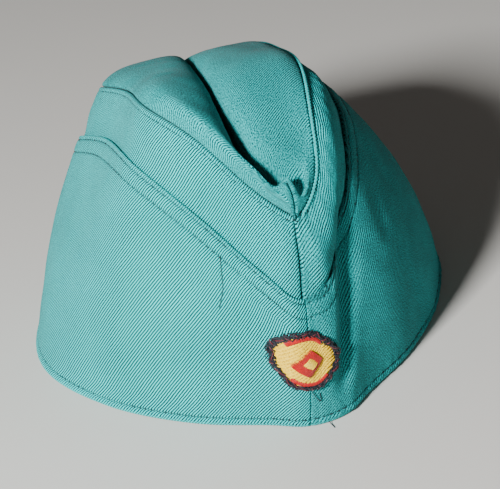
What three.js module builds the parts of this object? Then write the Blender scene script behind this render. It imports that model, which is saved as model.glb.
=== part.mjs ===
// A garrison cap of wool twill: two side panels, a turn-up on each side, a creased crown and a cockade.
// Millimetres. X points to the wearer's left, Y to the back of the head and Z up; the hem lies at Z = 0.
import * as THREE from "three";

// Driving sizes
const HEM_HALF_LENGTH = 100; // from the middle of the hem to its front or back
const HEM_HALF_WIDTH = 90; // from the middle of the hem to its side, before the shares below
const SEAM_HEIGHT = 124; // the highest point of the two top seams
const SEAM_HALF_WIDTH = 34; // from the middle of the crown to a top seam where the crown is widest
const SEAM_FRONT = 92; // the front end of the top seams, ahead of the middle
const SEAM_BACK = 80; // their back end, behind the middle
const SEAM_DRIFT = 5; // how far the crown leans to the wearer's right
const SIDE_BULGE = 10; // how far the cloth bows out between hem and top seam
const NOSE_BULGE = 6.5; // how far the front bows out
const CREASE_RISE = 10; // how high the crown's ridges stand over the top seams
const CLEFT_DEPTH = 22; // how deep the cleft between the ridges goes under the top seams
const PANEL_CLOTH = 1.2; // thickness of side panels and crown
const TURN_UP_CLOTH = 1.4; // thickness of the doubled turn-up
const COCKADE_WIDTH = 26.6; // the long way of its oval
const COCKADE_HEIGHT = 23.8; // the short way
const COCKADE_EDGE = 2; // width of the overstitched edge
const COCKADE_THICKNESS = 1.3;
const GAP = 0.3; // air between pieces that touch on the real cap

// How finely the cloth is divided
const STATIONS = 36; // along each side of the crown
const TURN_UP_ROWS = 7; // from hem to the turn-up's top edge, on the side panel behind it too
const UPPER_ROWS = 4; // from there to the top seam
const CROWN_COLUMNS = 12; // from a top seam to the centre seam
const COCKADE_STEPS = 8; // across the cockade's field
const COCKADE_TURNS = 32; // around its edge

// Sections of the side walls, front (station 0) to back (station 1), the same for both sides but for the bow.
// hem: share of HEM_HALF_WIDTH. seam: share of SEAM_HALF_WIDTH. drift: share of SEAM_DRIFT, to the left.
// height: share of SEAM_HEIGHT. turnUp: the turn-up's share of the way from hem to top seam.
// bowRight, bowLeft: shares of SIDE_BULGE.
const WALL = columns(
  ["station", "hem", "seam", "drift", "height", "turnUp", "bowRight", "bowLeft"],
  [
    [0.0, 0.0, 0.0, 0.0, 0.719, 0.66, 0.3, 0.0],
    [0.06, 0.103, 0.095, 0.36, 0.722, 0.664, 0.5, 0.0],
    [0.14, 0.228, 0.365, 0.25, 0.8, 0.714, 0.33, 0.1],
    [0.24, 0.52, 0.66, -0.58, 0.948, 0.778, 0.42, 0.75],
    [0.36, 0.82, 0.92, -0.94, 1.0, 0.836, 0.62, 1.1],
    [0.5, 0.996, 0.943, -0.32, 0.935, 0.845, 0.62, 1.2],
    [0.64, 0.865, 0.99, -0.38, 0.838, 0.797, 0.62, 1.4],
    [0.8, 0.51, 0.643, -0.02, 0.683, 0.71, 0.36, 0.9],
    [1.0, 0.0, 0.0, 0.0, 0.562, 0.6, 0.1, 0.1],
  ],
);

// Sections of the crown, right top seam to left. Each fold has its place across the crown, as a share of the
// half width there, minus to the right, and its height over the seams as a share of CREASE_RISE. The three
// places in the cleft have a depth under the seams as a share of CLEFT_DEPTH instead.
const RIGHT_FOLDS = columns(
  ["station", "ridge", "ridgeRise", "lip", "lipRise", "cleft", "cleftDepth"],
  [
    [0.03, -0.8, 0.01, -0.5, 0.02, -0.25, -0.01],
    [0.06, -0.88, 0.36, -0.62, 0.55, -0.35, -0.27],
    [0.1, -0.98, 0.6, -0.8, 0.66, -0.5, -0.34],
    [0.14, -1.0, 0.75, -0.82, 0.75, -0.6, 0.35],
    [0.19, -0.95, 0.85, -0.68, 0.3, -0.6, 0.6],
    [0.24, -0.92, 0.86, -0.46, -0.05, -0.4, 0.75],
    [0.36, -0.8, 0.66, -0.2, -0.15, -0.17, 0.85],
    [0.5, -0.75, 0.45, -0.14, 0.2, -0.11, 0.6],
    [0.64, -0.73, 0.48, 0.04, 0.3, 0.06, 0.36],
    [0.8, -0.73, 0.55, 0.03, 0.35, 0.08, 0.16],
    [0.92, -0.7, 0.3, -0.25, 0.25, -0.05, -0.05],
    [0.97, -0.7, 0.15, -0.35, 0.15, -0.1, -0.05],
  ],
);
const LEFT_FOLDS = columns(
  ["station", "centre", "centreDepth", "cleft", "cleftDepth", "lip", "lipRise", "ridge", "ridgeRise"],
  [
    [0.03, 0.0, -0.01, 0.25, -0.01, 0.5, 0.02, 0.8, 0.01],
    [0.06, -0.1, -0.27, 0.2, -0.26, 0.5, 0.5, 0.82, 0.3],
    [0.1, -0.3, -0.37, 0.0, -0.42, 0.44, 0.15, 0.85, 0.4],
    [0.14, -0.48, 0.3, -0.2, 0.0, 0.42, -0.3, 0.75, 0.3],
    [0.19, -0.45, 0.75, -0.32, 0.6, -0.2, 0.1, 0.75, -0.02],
    [0.24, -0.33, 0.92, -0.26, 0.75, -0.2, -0.05, 0.72, 0.02],
    [0.36, -0.14, 1.0, -0.11, 0.85, -0.09, 0.0, 0.72, 0.36],
    [0.5, -0.085, 0.75, -0.06, 0.6, -0.03, 0.3, 0.74, 0.36],
    [0.64, 0.09, 0.48, 0.12, 0.36, 0.15, 0.1, 0.78, 0.2],
    [0.8, 0.12, 0.23, 0.16, 0.14, 0.22, 0.12, 0.76, 0.15],
    [0.92, 0.1, 0.0, 0.25, -0.04, 0.45, 0.12, 0.78, 0.1],
    [0.97, 0.1, -0.02, 0.3, -0.04, 0.5, 0.1, 0.8, 0.06],
  ],
);

// Where the folds lie between the top seams in the cloth itself, right seam -1, centre seam 0, left seam 1
const ACROSS = [-1, -0.78, -0.45, -0.2, 0, 0.2, 0.42, 0.76, 1];

// Dents and pleats of the side walls: u around the cap from the front, positive on the left, and v up from
// hem to top seam, for the middle of each; half its length along u and v; depth as a share of SIDE_BULGE.
const DENTS = columns(
  ["u", "v", "alongU", "alongV", "depth"],
  [
    [0.115, 0.4, 0.035, 0.35, 0.22],
    [-0.2, 0.85, 0.05, 0.16, 0.16],
    [0.4, 0.92, 0.04, 0.1, 0.18],
  ],
);

// The crown closes this far round from the front and the back of the ring
const CROWN_END = 0.03;
const CROWN_TURN = 0.04; // and over this much more, its cloth turns to face the ways below
const FRONT_END_FACES = new THREE.Vector3(0, -1, 0.4);
const BACK_END_FACES = new THREE.Vector3(0, 1, 1);
// The front seam runs on the right of the front, this far round from it at the hem and at its top
const FRONT_SEAM = { hem: -0.05, top: -CROWN_END };
// The bows start from nothing at the front over this much of the way round
const BOW_START = 0.1;
// The cockade's middle on the wall
const COCKADE_PLACE = { u: -0.048, v: 0.37 };
// How far its long way slopes down towards the wearer's left, in degrees
const COCKADE_SLOPE = 45;
// How much its outline stands out at the upper corners over an oval, as a share
const COCKADE_CORNER = 0.08;

const TEAL = { color: 0x3f7a78, roughness: 0.92, metalness: 0 };
const TEAL_TURN_UP = { color: 0x437f7d, roughness: 0.92, metalness: 0 };
const TEAL_CROWN = { color: 0x3c7573, roughness: 0.92, metalness: 0 };
const GOLD_THREAD = { color: 0xd9a441, roughness: 0.55, metalness: 0 };
const DARK_THREAD = { color: 0x1c1f2b, roughness: 0.6, metalness: 0 };

// A table's rows as one array for each named column
function columns(names, rows) {
  return Object.fromEntries(names.map((name, i) => [name, rows.map((row) => row[i])]));
}

// A smooth curve through values at knots, as a function of the place along them
function through(knots, values) {
  const last = knots.length - 1;
  const rise = knots.slice(1).map((knot, i) => (values[i + 1] - values[i]) / (knot - knots[i]));
  const slope = values.map((_, i) => {
    if (i === 0 || i === last) return 0;
    const before = knots[i] - knots[i - 1];
    const after = knots[i + 1] - knots[i];
    return (rise[i - 1] * after + rise[i] * before) / (before + after);
  });
  slope[0] = 2 * rise[0] - slope[1];
  slope[last] = 2 * rise[last - 1] - slope[last - 1];
  return (place) => {
    let i = 0;
    while (i < last - 1 && place >= knots[i + 1]) i += 1;
    const step = knots[i + 1] - knots[i];
    const t = (place - knots[i]) / step;
    const start = (2 * t - 3) * t * t + 1;
    const away = ((t - 2) * t + 1) * t * step;
    const back = (t - 1) * t * t * step;
    return start * values[i] + (1 - start) * values[i + 1] + away * slope[i] + back * slope[i + 1];
  };
}

// Each column of a table but the first as a curve along the first
function curves(table) {
  const [knots, ...rest] = Object.keys(table);
  return Object.fromEntries(rest.map((name) => [name, through(table[knots], table[name])]));
}

function smoothStep(x) {
  const t = THREE.MathUtils.clamp(x, 0, 1);
  return t * t * (3 - 2 * t);
}

const wallCurve = curves(WALL);
const rightFold = curves(RIGHT_FOLDS);
const leftFold = curves(LEFT_FOLDS);

// A point on the top seam of one side (-1 right, 1 left) at a station
function topSeam(station, side) {
  const drift = SEAM_DRIFT * wallCurve.drift(station);
  const half = SEAM_HALF_WIDTH * wallCurve.seam(station);
  const back = (1 - Math.cos(Math.PI * station)) / 2;
  const y = -SEAM_FRONT + (SEAM_FRONT + SEAM_BACK) * back;
  return new THREE.Vector3(drift + side * half, y, SEAM_HEIGHT * wallCurve.height(station));
}

// u runs around the cap: 0 is the front, 1 the back over the left side and -1 the back over the right
function sideOf(u) {
  return u < 0 ? -1 : 1;
}

// How far the dents push the wall in at a place
function dentDepth(u, v) {
  return DENTS.u.reduce((sum, middle, i) => {
    const across = (u - middle) / DENTS.alongU[i];
    const up = (v - DENTS.v[i]) / DENTS.alongV[i];
    return sum + SIDE_BULGE * DENTS.depth[i] * Math.exp(-across * across - up * up);
  }, 0);
}

// A point on the cap's outer side face: u around it, v from the hem (0) to the top seam (1)
function wallPoint(u, v) {
  const side = sideOf(u);
  const station = Math.abs(u);
  const turn = Math.PI * station;
  const x = side * HEM_HALF_WIDTH * wallCurve.hem(station);
  const hem = new THREE.Vector3(x, -HEM_HALF_LENGTH * Math.cos(turn), 0);
  const outward = new THREE.Vector3(side * Math.sin(turn), -Math.cos(turn), 0);
  const bow = side > 0 ? wallCurve.bowLeft(station) : wallCurve.bowRight(station);
  const nose = NOSE_BULGE * Math.max(0, Math.cos(turn)) ** 4;
  const bulge = SIDE_BULGE * bow * smoothStep(station / BOW_START) + nose;
  const rise = 4 * v * (1 - v);
  return hem
    .lerp(topSeam(station, side), v)
    .addScaledVector(outward, bulge * rise - dentDepth(u, v) * Math.min(1, 2 * rise));
}

// A point on the crown's top face: station front to back, t across it from right seam (-1) to left (1)
function crownPoint(station, t) {
  const drift = SEAM_DRIFT * wallCurve.drift(station);
  const half = SEAM_HALF_WIDTH * wallCurve.seam(station);
  const places = [
    -1,
    rightFold.ridge(station),
    rightFold.lip(station),
    rightFold.cleft(station),
    leftFold.centre(station),
    leftFold.cleft(station),
    leftFold.lip(station),
    leftFold.ridge(station),
    1,
  ];
  const rises = [
    0,
    CREASE_RISE * rightFold.ridgeRise(station),
    CREASE_RISE * rightFold.lipRise(station),
    -CLEFT_DEPTH * rightFold.cleftDepth(station),
    -CLEFT_DEPTH * leftFold.centreDepth(station),
    -CLEFT_DEPTH * leftFold.cleftDepth(station),
    CREASE_RISE * leftFold.lipRise(station),
    CREASE_RISE * leftFold.ridgeRise(station),
    0,
  ];
  const seam = topSeam(station, 1);
  const x = drift + half * through(ACROSS, places)(t);
  return new THREE.Vector3(x, seam.y, seam.z + through(ACROSS, rises)(t));
}

// The unit normal of a surface at a place, from its slope over a small step each way
function normalOf(surface, a, b, [lowB, highB]) {
  const step = 1e-4;
  const b0 = Math.max(lowB, b - step);
  const b1 = Math.min(highB, b + step);
  const alongA = surface(a + step, b).sub(surface(a - step, b));
  const alongB = surface(a, b1).sub(surface(a, b0));
  return alongA.cross(alongB).normalize();
}

function wallNormal(u, v) {
  return normalOf(wallPoint, u, v, [0, 1]);
}

// At its front and back ends the crown is too narrow to turn over, and its cloth faces outward and up
function crownNormal(station, t) {
  const normal = normalOf(crownPoint, station, t, [-1, 1]).negate();
  const end = (station < 0.5 ? FRONT_END_FACES : BACK_END_FACES).clone().normalize();
  const fromEnd = Math.min(station, 1 - station) - CROWN_END;
  return normal.lerp(end, 1 - smoothStep(fromEnd / CROWN_TURN)).normalize();
}

// The way from the outer to the inner corner of a seam between two faces of cloth, for a thickness of 1
function mitre(normal, other) {
  const sum = normal.clone().add(other);
  return sum.divideScalar(Math.max(0.5, 1 + normal.dot(other)));
}

function seamMitre(u) {
  const station = THREE.MathUtils.clamp(Math.abs(u), CROWN_END, 1 - CROWN_END);
  return mitre(wallNormal(u, 1), crownNormal(station, sideOf(u)));
}

// The way inward from the wall's outer face: level at the hem, so that the hem stays flat
function wallInward(u, v) {
  if (v >= 1) return seamMitre(u).negate();
  const inward = wallNormal(u, v).negate();
  if (v > 0) return inward;
  inward.z = 0;
  return inward.normalize();
}

function crownInward(station, t) {
  if (Math.abs(t) === 1) return seamMitre(t * station).negate();
  return crownNormal(station, t).negate();
}

// How far under the outer face the side panel lies: beneath the turn-up, then out to the top seam
function layDepth(u, v) {
  const edge = wallCurve.turnUp(Math.abs(u));
  return (TURN_UP_CLOTH + GAP) * (1 - smoothStep((v - edge) / (1 - edge)));
}

// The stations along a side: the crown's own, with the short stretches at its ends
function sideStations() {
  const span = 1 - 2 * CROWN_END;
  const along = Array.from({ length: STATIONS + 1 }, (_, i) => CROWN_END + (span * i) / STATIONS);
  return [0, CROWN_END / 2, ...along, 1 - CROWN_END / 2, 1];
}

// Where each side's cloth is divided, from its front seam to the back seam
function dividedAround(side) {
  if (side > 0) return [FRONT_SEAM.top, ...sideStations()];
  const beyond = sideStations().filter((station) => station >= CROWN_END);
  return beyond.map((station) => -station);
}

// u at a height, for a place that is divided at u on the top seam: the front seam leans, the rest follows
function leaning(u, v) {
  const end = u < FRONT_SEAM.top ? -1 : 1;
  const share = (end - u) / (end - FRONT_SEAM.top);
  return u + (FRONT_SEAM.hem - FRONT_SEAM.top) * (1 - v) * share;
}

// Draws borders of two layers of points in by the lengths given, so that neighbours keep a gap
function drawIn([outer, inner], { start, end, low, high }) {
  const move = (i, j, nextI, nextJ, length) => {
    const way = outer[nextI][nextJ].clone().sub(outer[i][j]);
    way.setLength(Math.min(length, 0.8 * way.length()));
    return () => [outer, inner].forEach((layer) => layer[i][j].add(way));
  };
  const last = outer.length - 1;
  const top = outer[0].length - 1;
  const moves = [];
  outer[0].forEach((_, j) => {
    if (start) moves.push(move(0, j, 1, j, start));
    if (end) moves.push(move(last, j, last - 1, j, end));
  });
  outer.forEach((_, i) => {
    if (low) moves.push(move(i, 0, i, 1, low));
    if (high) moves.push(move(i, top, i, top - 1, high));
  });
  moves.forEach((apply) => apply());
  return [outer, inner];
}

// A closed solid between an outer and an inner grid of points; wrapped joins the last row to the first
function solidBetween(name, [outer, inner], look, wrapped = false) {
  const rows = outer.length;
  const row = outer[0].length;
  const points = [...outer.flat(), ...inner.flat()];
  const under = rows * row;
  const faces = [];
  const quad = (a, b, c, d) => faces.push(a, b, c, a, c, d);
  const at = (i, j) => (i % rows) * row + j;
  const spans = wrapped ? rows : rows - 1;
  for (let i = 0; i < spans; i += 1) {
    for (let j = 0; j < row - 1; j += 1) {
      quad(at(i, j), at(i + 1, j), at(i + 1, j + 1), at(i, j + 1));
      quad(under + at(i, j), under + at(i, j + 1), under + at(i + 1, j + 1), under + at(i + 1, j));
    }
    quad(at(i, 0), under + at(i, 0), under + at(i + 1, 0), at(i + 1, 0));
    quad(at(i, row - 1), at(i + 1, row - 1), under + at(i + 1, row - 1), under + at(i, row - 1));
  }
  for (let j = 0; j < row - 1 && !wrapped; j += 1) {
    quad(at(0, j), at(0, j + 1), under + at(0, j + 1), under + at(0, j));
    quad(at(rows - 1, j), under + at(rows - 1, j), under + at(rows - 1, j + 1), at(rows - 1, j + 1));
  }
  if (volume(points, faces) < 0) faces.reverse();
  const geometry = new THREE.BufferGeometry().setFromPoints(points);
  geometry.setIndex(faces);
  geometry.computeVertexNormals();
  const mesh = new THREE.Mesh(geometry, new THREE.MeshStandardMaterial(look));
  mesh.name = name;
  return mesh;
}

// Six times the volume that faces enclose, negative when they face inward
function volume(points, faces) {
  let sum = 0;
  for (let i = 0; i < faces.length; i += 3) {
    const [a, b, c] = [points[faces[i]], points[faces[i + 1]], points[faces[i + 2]]];
    sum += a.dot(b.clone().cross(c));
  }
  return sum;
}

function range(count) {
  return Array.from({ length: count + 1 }, (_, i) => i / count);
}

// The heights at which the turn-up is divided, the same ones on the side panel behind it
function turnUpHeights(u) {
  return range(TURN_UP_ROWS).map((share) => share * wallCurve.turnUp(Math.abs(u)));
}

function sideHeights(u) {
  const edge = wallCurve.turnUp(Math.abs(u));
  const upper = range(UPPER_ROWS).map((share) => edge + (1 - edge) * share);
  return [...turnUpHeights(u), ...upper.slice(1)];
}

// A side panel, from the hem inside the turn-up to the top seam
function sidePanel(name, side) {
  const layer = (thickness) =>
    dividedAround(side).map((top) =>
      sideHeights(top).map((v) => {
        const u = leaning(top, v);
        return wallPoint(u, v).addScaledVector(wallInward(u, v), layDepth(u, v) + thickness);
      }),
    );
  const edges = { start: GAP / 2, end: GAP / 2, high: GAP / 2 };
  return solidBetween(name, drawIn([layer(0), layer(PANEL_CLOTH)], edges), TEAL);
}

// A turn-up, folded up from the hem to its slanting top edge
function turnUp(name, side) {
  const layer = (thickness) =>
    dividedAround(side).map((top) =>
      turnUpHeights(top).map((v) => {
        const u = leaning(top, v);
        return wallPoint(u, v).addScaledVector(wallInward(u, v), thickness);
      }),
    );
  const edges = { start: GAP / 2, end: GAP / 2 };
  return solidBetween(name, drawIn([layer(0), layer(TURN_UP_CLOTH)], edges), TEAL_TURN_UP);
}

// Half of the crown, from its top seam down to the centre seam in the cleft
function crownHalf(name, side) {
  const stations = sideStations().filter((s) => s >= CROWN_END - 1e-9 && s <= 1 - CROWN_END + 1e-9);
  const layer = (thickness) =>
    stations.map((station) =>
      range(CROWN_COLUMNS).map((share) => {
        const t = side * share;
        return crownPoint(station, t).addScaledVector(crownInward(station, t), thickness);
      }),
    );
  const edges = { start: 1.6 * GAP, end: 1.6 * GAP, low: GAP / 2, high: GAP / 2 };
  return solidBetween(name, drawIn([layer(0), layer(PANEL_CLOTH)], edges), TEAL_CROWN);
}

// A point of the cockade: along its long and its short way from its middle in mm, lifted off the turn-up
function cockadePoint(long, short, lift) {
  const { u, v } = COCKADE_PLACE;
  const slope = THREE.MathUtils.degToRad(COCKADE_SLOPE);
  const across = long * Math.cos(slope) + short * Math.sin(slope);
  const up = short * Math.cos(slope) - long * Math.sin(slope);
  const step = 0.01;
  const perU = wallPoint(u + step, v).distanceTo(wallPoint(u - step, v)) / (2 * step);
  const perV = wallPoint(u, v + step).distanceTo(wallPoint(u, v - step)) / (2 * step);
  const place = [u + across / perU, v + up / perV];
  return wallPoint(...place).addScaledVector(wallNormal(...place), lift);
}

// The cockade's outline is an oval with full upper corners
function cockadeRim(angle, inset) {
  const corner = 1 + ((COCKADE_CORNER * (1 + Math.sin(angle))) / 2) * Math.sin(2 * angle) ** 2;
  const long = (COCKADE_WIDTH / 2 - inset) * Math.cos(angle) * corner;
  return [long, (COCKADE_HEIGHT / 2 - inset) * Math.sin(angle) * corner];
}

// The overstitched edge: a ring of thread with a rounded top
function cockadeEdge(name) {
  const layer = (crest) =>
    range(COCKADE_TURNS)
      .slice(0, -1)
      .map((turn) =>
        [0, 0.25, 0.5, 0.75, 1].map((share) => {
          const lift = GAP + crest * (0.5 + 0.5 * Math.sin(Math.PI * share));
          return cockadePoint(...cockadeRim(2 * Math.PI * turn, COCKADE_EDGE * share), lift);
        }),
      );
  return solidBetween(name, [layer(COCKADE_THICKNESS), layer(0)], DARK_THREAD, true);
}

// The embroidered field inside the edge, on a square grid pressed into the oval
function cockadeField(name) {
  const inset = COCKADE_EDGE + GAP;
  const places = range(COCKADE_STEPS).map((share) => 2 * share - 1);
  const layer = (thickness) =>
    places.map((a) =>
      places.map((b) => {
        const x = a * Math.sqrt(1 - (b * b) / 2);
        const y = b * Math.sqrt(1 - (a * a) / 2);
        const reach = Math.hypot(x, y);
        const [long, short] = cockadeRim(Math.atan2(y, x), inset);
        return cockadePoint(long * reach, short * reach, GAP + thickness * (1 - 0.3 * reach * reach));
      }),
    );
  return solidBetween(name, [layer(COCKADE_THICKNESS), layer(0)], GOLD_THREAD);
}

const cap = new THREE.Group();
cap.name = "garrison_cap";
cap.add(
  sidePanel("side_right", -1),
  sidePanel("side_left", 1),
  turnUp("turn_up_right", -1),
  turnUp("turn_up_left", 1),
  crownHalf("crown_right", -1),
  crownHalf("crown_left", 1),
  cockadeEdge("cockade_edge"),
  cockadeField("cockade_field"),
);

// The cap's box is centred over the origin
const box = new THREE.Box3().setFromObject(cap, true);
const middle = box.getCenter(new THREE.Vector3());
cap.position.set(-middle.x, -middle.y, 0);

export default cap;
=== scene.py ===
"""The looks of a garrison cap of wool twill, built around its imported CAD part.

Every piece is a surface worked out as whole numpy arrays from the same named sizes and tables of shares as
the part, in the part's own frame, in metres: X to the wearer's left, Y to the back, Z up, hem on Z = 0.
"""
import functools
import math

import bpy
import numpy as np
from mathutils import Matrix, Vector


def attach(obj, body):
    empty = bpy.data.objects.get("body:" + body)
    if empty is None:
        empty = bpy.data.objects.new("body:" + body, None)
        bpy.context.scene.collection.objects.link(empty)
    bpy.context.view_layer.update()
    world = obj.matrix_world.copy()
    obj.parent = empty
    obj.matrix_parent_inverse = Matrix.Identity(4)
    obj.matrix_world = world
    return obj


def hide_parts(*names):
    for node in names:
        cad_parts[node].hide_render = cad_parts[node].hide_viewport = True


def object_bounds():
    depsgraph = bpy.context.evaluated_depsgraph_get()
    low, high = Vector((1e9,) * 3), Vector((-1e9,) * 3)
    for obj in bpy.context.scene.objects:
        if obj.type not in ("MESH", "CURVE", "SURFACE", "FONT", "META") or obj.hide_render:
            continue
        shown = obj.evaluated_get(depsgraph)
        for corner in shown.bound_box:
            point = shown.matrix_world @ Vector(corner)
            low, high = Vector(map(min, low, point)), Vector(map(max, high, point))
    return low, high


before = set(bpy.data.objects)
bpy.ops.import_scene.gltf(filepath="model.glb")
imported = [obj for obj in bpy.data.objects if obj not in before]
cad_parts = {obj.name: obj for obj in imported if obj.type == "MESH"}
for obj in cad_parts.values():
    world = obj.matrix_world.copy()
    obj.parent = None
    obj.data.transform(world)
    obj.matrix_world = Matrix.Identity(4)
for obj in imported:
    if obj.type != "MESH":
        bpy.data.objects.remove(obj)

bl_info = {
    "name": "Garrison cap",
    "version": (1, 0, 0),
    "blender": (4, 5, 0),
    "location": "3D View > Sidebar > Cap",
    "description": "Builds the cloth, seams, stitches and cockade of a garrison cap",
    "category": "Object",
}

CAD_BOX = [list(corner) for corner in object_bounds()]

# How finely the cloth is divided
COLUMNS_AROUND = 330
STATIONS_ALONG = 300
CROWN_ROWS = 84
MIDDLE_ROWS = 46


def columns(names, rows):
    """A table's rows as one array for each named column."""
    return dict(zip(names.split(), np.array(rows, float).T))


# Sections of the side walls, front (station 0) to back (station 1). hem, seam and drift are shares of the
# hem's half width, the top seams' half width and the crown's drift, height of the seams' height; turnUp is
# how far up the wall the turn-up goes; bowRight and bowLeft are shares of the side bulge.
WALL = columns(
    "station hem seam drift height turnUp bowRight bowLeft",
    [
        [0.0, 0.0, 0.0, 0.0, 0.719, 0.66, 0.3, 0.0],
        [0.06, 0.103, 0.095, 0.36, 0.722, 0.664, 0.5, 0.0],
        [0.14, 0.228, 0.365, 0.25, 0.8, 0.714, 0.33, 0.1],
        [0.24, 0.52, 0.66, -0.58, 0.948, 0.778, 0.42, 0.75],
        [0.36, 0.82, 0.92, -0.94, 1.0, 0.836, 0.62, 1.1],
        [0.5, 0.996, 0.943, -0.32, 0.935, 0.845, 0.62, 1.2],
        [0.64, 0.865, 0.99, -0.38, 0.838, 0.797, 0.62, 1.4],
        [0.8, 0.51, 0.643, -0.02, 0.683, 0.71, 0.36, 0.9],
        [1.0, 0.0, 0.0, 0.0, 0.562, 0.6, 0.1, 0.1],
    ],
)
# Folds of the crown at sections from front to back: places across it from the right top seam (-1) to the
# left (1) as shares of its half width, rises over the seams as shares of the crease's rise and depths under
# them as shares of the cleft's depth.
FOLDS = columns(
    "station ridgeR ridgeRiseR lipR lipRiseR cleftR cleftDepthR "
    "centre centreDepth cleftL cleftDepthL lipL lipRiseL ridgeL ridgeRiseL",
    [
        [0.03, -0.8, 0.01, -0.5, 0.02, -0.25, -0.01, 0, -0.01, 0.25, -0.01, 0.5, 0.02, 0.8, 0.01],
        [0.06, -0.88, 0.36, -0.62, 0.55, -0.35, -0.27, -0.1, -0.27, 0.2, -0.26, 0.5, 0.5, 0.82, 0.3],
        [0.1, -0.98, 0.6, -0.8, 0.66, -0.5, -0.34, -0.3, -0.37, 0, -0.42, 0.44, 0.15, 0.85, 0.4],
        [0.14, -1.0, 0.75, -0.82, 0.75, -0.6, 0.35, -0.48, 0.3, -0.2, 0.0, 0.42, -0.3, 0.75, 0.3],
        [0.19, -0.95, 0.85, -0.68, 0.3, -0.6, 0.6, -0.45, 0.75, -0.32, 0.6, -0.2, 0.1, 0.75, -0.02],
        [0.24, -0.92, 0.86, -0.46, -0.05, -0.4, 0.75, -0.33, 0.92, -0.26, 0.75, -0.2, -0.05, 0.72, 0.02],
        [0.36, -0.8, 0.66, -0.2, -0.15, -0.17, 0.85, -0.14, 1.0, -0.11, 0.85, -0.09, 0.0, 0.72, 0.36],
        [0.5, -0.75, 0.45, -0.14, 0.2, -0.11, 0.6, -0.085, 0.75, -0.06, 0.6, -0.03, 0.3, 0.74, 0.36],
        [0.64, -0.73, 0.48, 0.04, 0.3, 0.06, 0.36, 0.09, 0.48, 0.12, 0.36, 0.15, 0.1, 0.78, 0.2],
        [0.8, -0.73, 0.55, 0.03, 0.35, 0.08, 0.16, 0.12, 0.23, 0.16, 0.14, 0.22, 0.12, 0.76, 0.15],
        [0.92, -0.7, 0.3, -0.25, 0.25, -0.05, -0.05, 0.1, 0, 0.25, -0.04, 0.45, 0.12, 0.78, 0.1],
        [0.97, -0.7, 0.15, -0.35, 0.15, -0.1, -0.05, 0.1, -0.02, 0.3, -0.04, 0.5, 0.1, 0.8, 0.06],
    ],
)
# Where those folds lie in the cloth itself: right top seam -1, centre seam 0, left top seam 1
ACROSS = np.array([-1, -0.78, -0.45, -0.2, 0, 0.2, 0.42, 0.76, 1])
# Dents of the walls: middle, half size round (u) and up (v) the wall, depth as a share of the side bulge
DENTS = columns(
    "u v alongU alongV depth",
    [
        [-0.2, 0.85, 0.05, 0.16, 0.16],
        [0.4, 0.92, 0.04, 0.1, 0.18],
    ],
)
# Creases of the walls: from (u0, v0) to (u1, v1), half width as a share of FOLD_WIDTH and depth of FOLD_DEPTH
FOLD_WIDTH = 0.008
FOLD_DEPTH = 0.002
CREASES = columns(
    "u0 v0 u1 v1 width depth",
    [
        [0.168, 0.74, 0.052, 0.2, 1.0, 2.7],
        [-0.173, 0.957, -0.093, 0.81, 0.8, 0.4],
        [0.32, 0.74, 0.335, 0.52, 0.5, 0.3],
        [0.26, 0.64, 0.255, 0.48, 0.6, 0.35],
        [0.268, 0.32, 0.29, 0.0, 0.55, 0.4],
        [0.3, 0.97, 0.22, 0.86, 0.5, 0.25],
        [0.37, 0.9, 0.26, 0.8, 0.45, 0.2],
    ],
)
AROUND = 0.29  # metres round the wall for 1 in u
UPWARD = 0.105  # metres up the wall for 1 in v

CROWN_END = 0.03  # the share of the crown's length over which its folds fade at each end
BOW_START = 0.1  # the bows grow from nothing over this share of the way round
FRONT_SEAM_HEM = -0.05  # the front seam at the hem, as a place u round the wall
FRONT_SEAM_TOP = -0.03
COCKADE_U = -0.048  # the cockade's middle on the wall
COCKADE_V = 0.37
COCKADE_CORNER = 0.04  # how full its corners are
COCKADE_TURN = -45  # degrees from level: its long way slopes down to the wearer's left

PANEL_SWELL = 0.003  # how far the left panel stands out beside the nose
SWELL_HEIGHT = 0.016  # the crest of that swell, up from the turn-up's edge
SWELL_WIDTH = 0.01
HEM_SWELL = 0.0011  # how far the turn-up stands out at the hem
HEM_START = 0.0005  # how far out of the turn-up's middle the fold under the hem starts
AIR = 0.0001  # between the cloths of a seam
SEAM_ROOM = 0.0014  # the cloth starts to turn in this far before a seam
CLEFT_ROOM = 0.0009  # and this far before the centre seam
EDGE_STITCHES = 0.002  # the upper row of the turn-up below its top edge
LOWER_STITCHES = 0.0078  # the lower row
HEM_STITCHES = 0.004  # the hem's row above the hem
SEAM_STITCHES = 0.0022  # the row beside a top seam
GROOVE = 0.00035  # how deep a row of stitches pulls the cloth in
GROOVE_WIDTH = 0.0006
STITCH_PITCH = 0.003
STITCH_LENGTH = 0.0021
STITCH_ARCH = 0.00018
THREAD_RADIUS = 0.00025
CORD_RADIUS = 0.0006  # the raised edge of the left top seam
CORD_PITCH = 0.0014  # one turn of its twist
LOOSE_RADIUS = 0.00016
SATIN_RADIUS = 0.00026  # the cockade's stitches
SATIN_ARCH = 0.0003
FILL_ARCH = 0.00022
EDGE_RADIUS = 0.00024  # the stitches of its edge
EDGE_ARCH = 0.0008
STRAND_RADIUS = 0.0002  # the strands that wander round the edge
SATIN_PITCH = 0.00042
FILL_STITCH = 0.0034  # the length of a stitch of its gold fill
LOZENGE = 0.0046  # half the side of the red lozenge
SMALL_LOZENGE = 0.0019
BAR_WIDTH = 0.0017  # how far the red bars reach in from the edge

SIDES = {"right": -1, "left": 1}
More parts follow.
